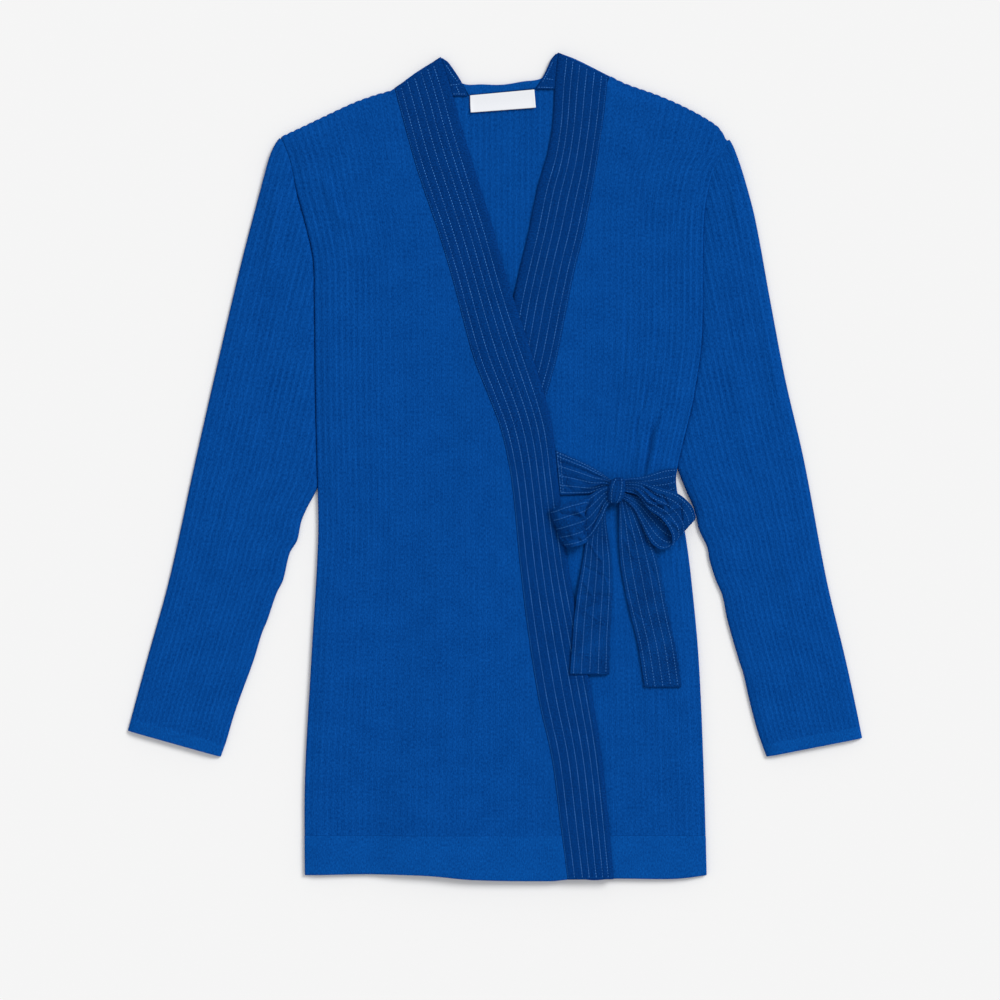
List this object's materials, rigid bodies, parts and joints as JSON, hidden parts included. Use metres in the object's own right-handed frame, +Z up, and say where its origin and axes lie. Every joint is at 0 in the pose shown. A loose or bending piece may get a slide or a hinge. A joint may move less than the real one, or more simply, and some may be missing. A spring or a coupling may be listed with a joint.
{
  "type": "wrap cardigan",
  "caption": "Rib-knit wrap cardigan laid flat, with channel-stitched woven front bands and a side tie in a bow.",
  "frame": {"origin": "the centre of the outline, on the surface the cardigan lies on", "axes": "+Y to the neck, +Z up from the outside of the fronts, +X to the wearer's left side"},
  "size_m": [0.6962, 0.7851, 0.0196],
  "materials": {
    "rib_knit": "matte rib knit",
    "turned_knit": "matte plain knit",
    "woven_band": "woven, matte",
    "label": "woven satin, bare"
  },
  "bodies": {
    "root": {"back_panel": "rib_knit", "back_hem": "turned_knit", "front_panel_left": "rib_knit", "front_hem_left": "turned_knit", "front_panel_right": "rib_knit", "front_hem_right": "turned_knit", "band_left": "woven_band", "band_right": "woven_band", "band_end_right": "woven_band", "band_end_left": "woven_band", "neck_facing": "turned_knit", "neck_label": "label", "sleeve_right": "rib_knit", "sleeve_left": "rib_knit", "cuff_right": "turned_knit", "cuff_left": "turned_knit", "tie_strap_right": "woven_band", "tie_strap_left": "woven_band", "bow_loop_right": "woven_band", "bow_loop_left": "woven_band", "tie_tail_right": "woven_band", "tie_tail_left": "woven_band", "tie_knot": "woven_band"}
  },
  "joints": []
}
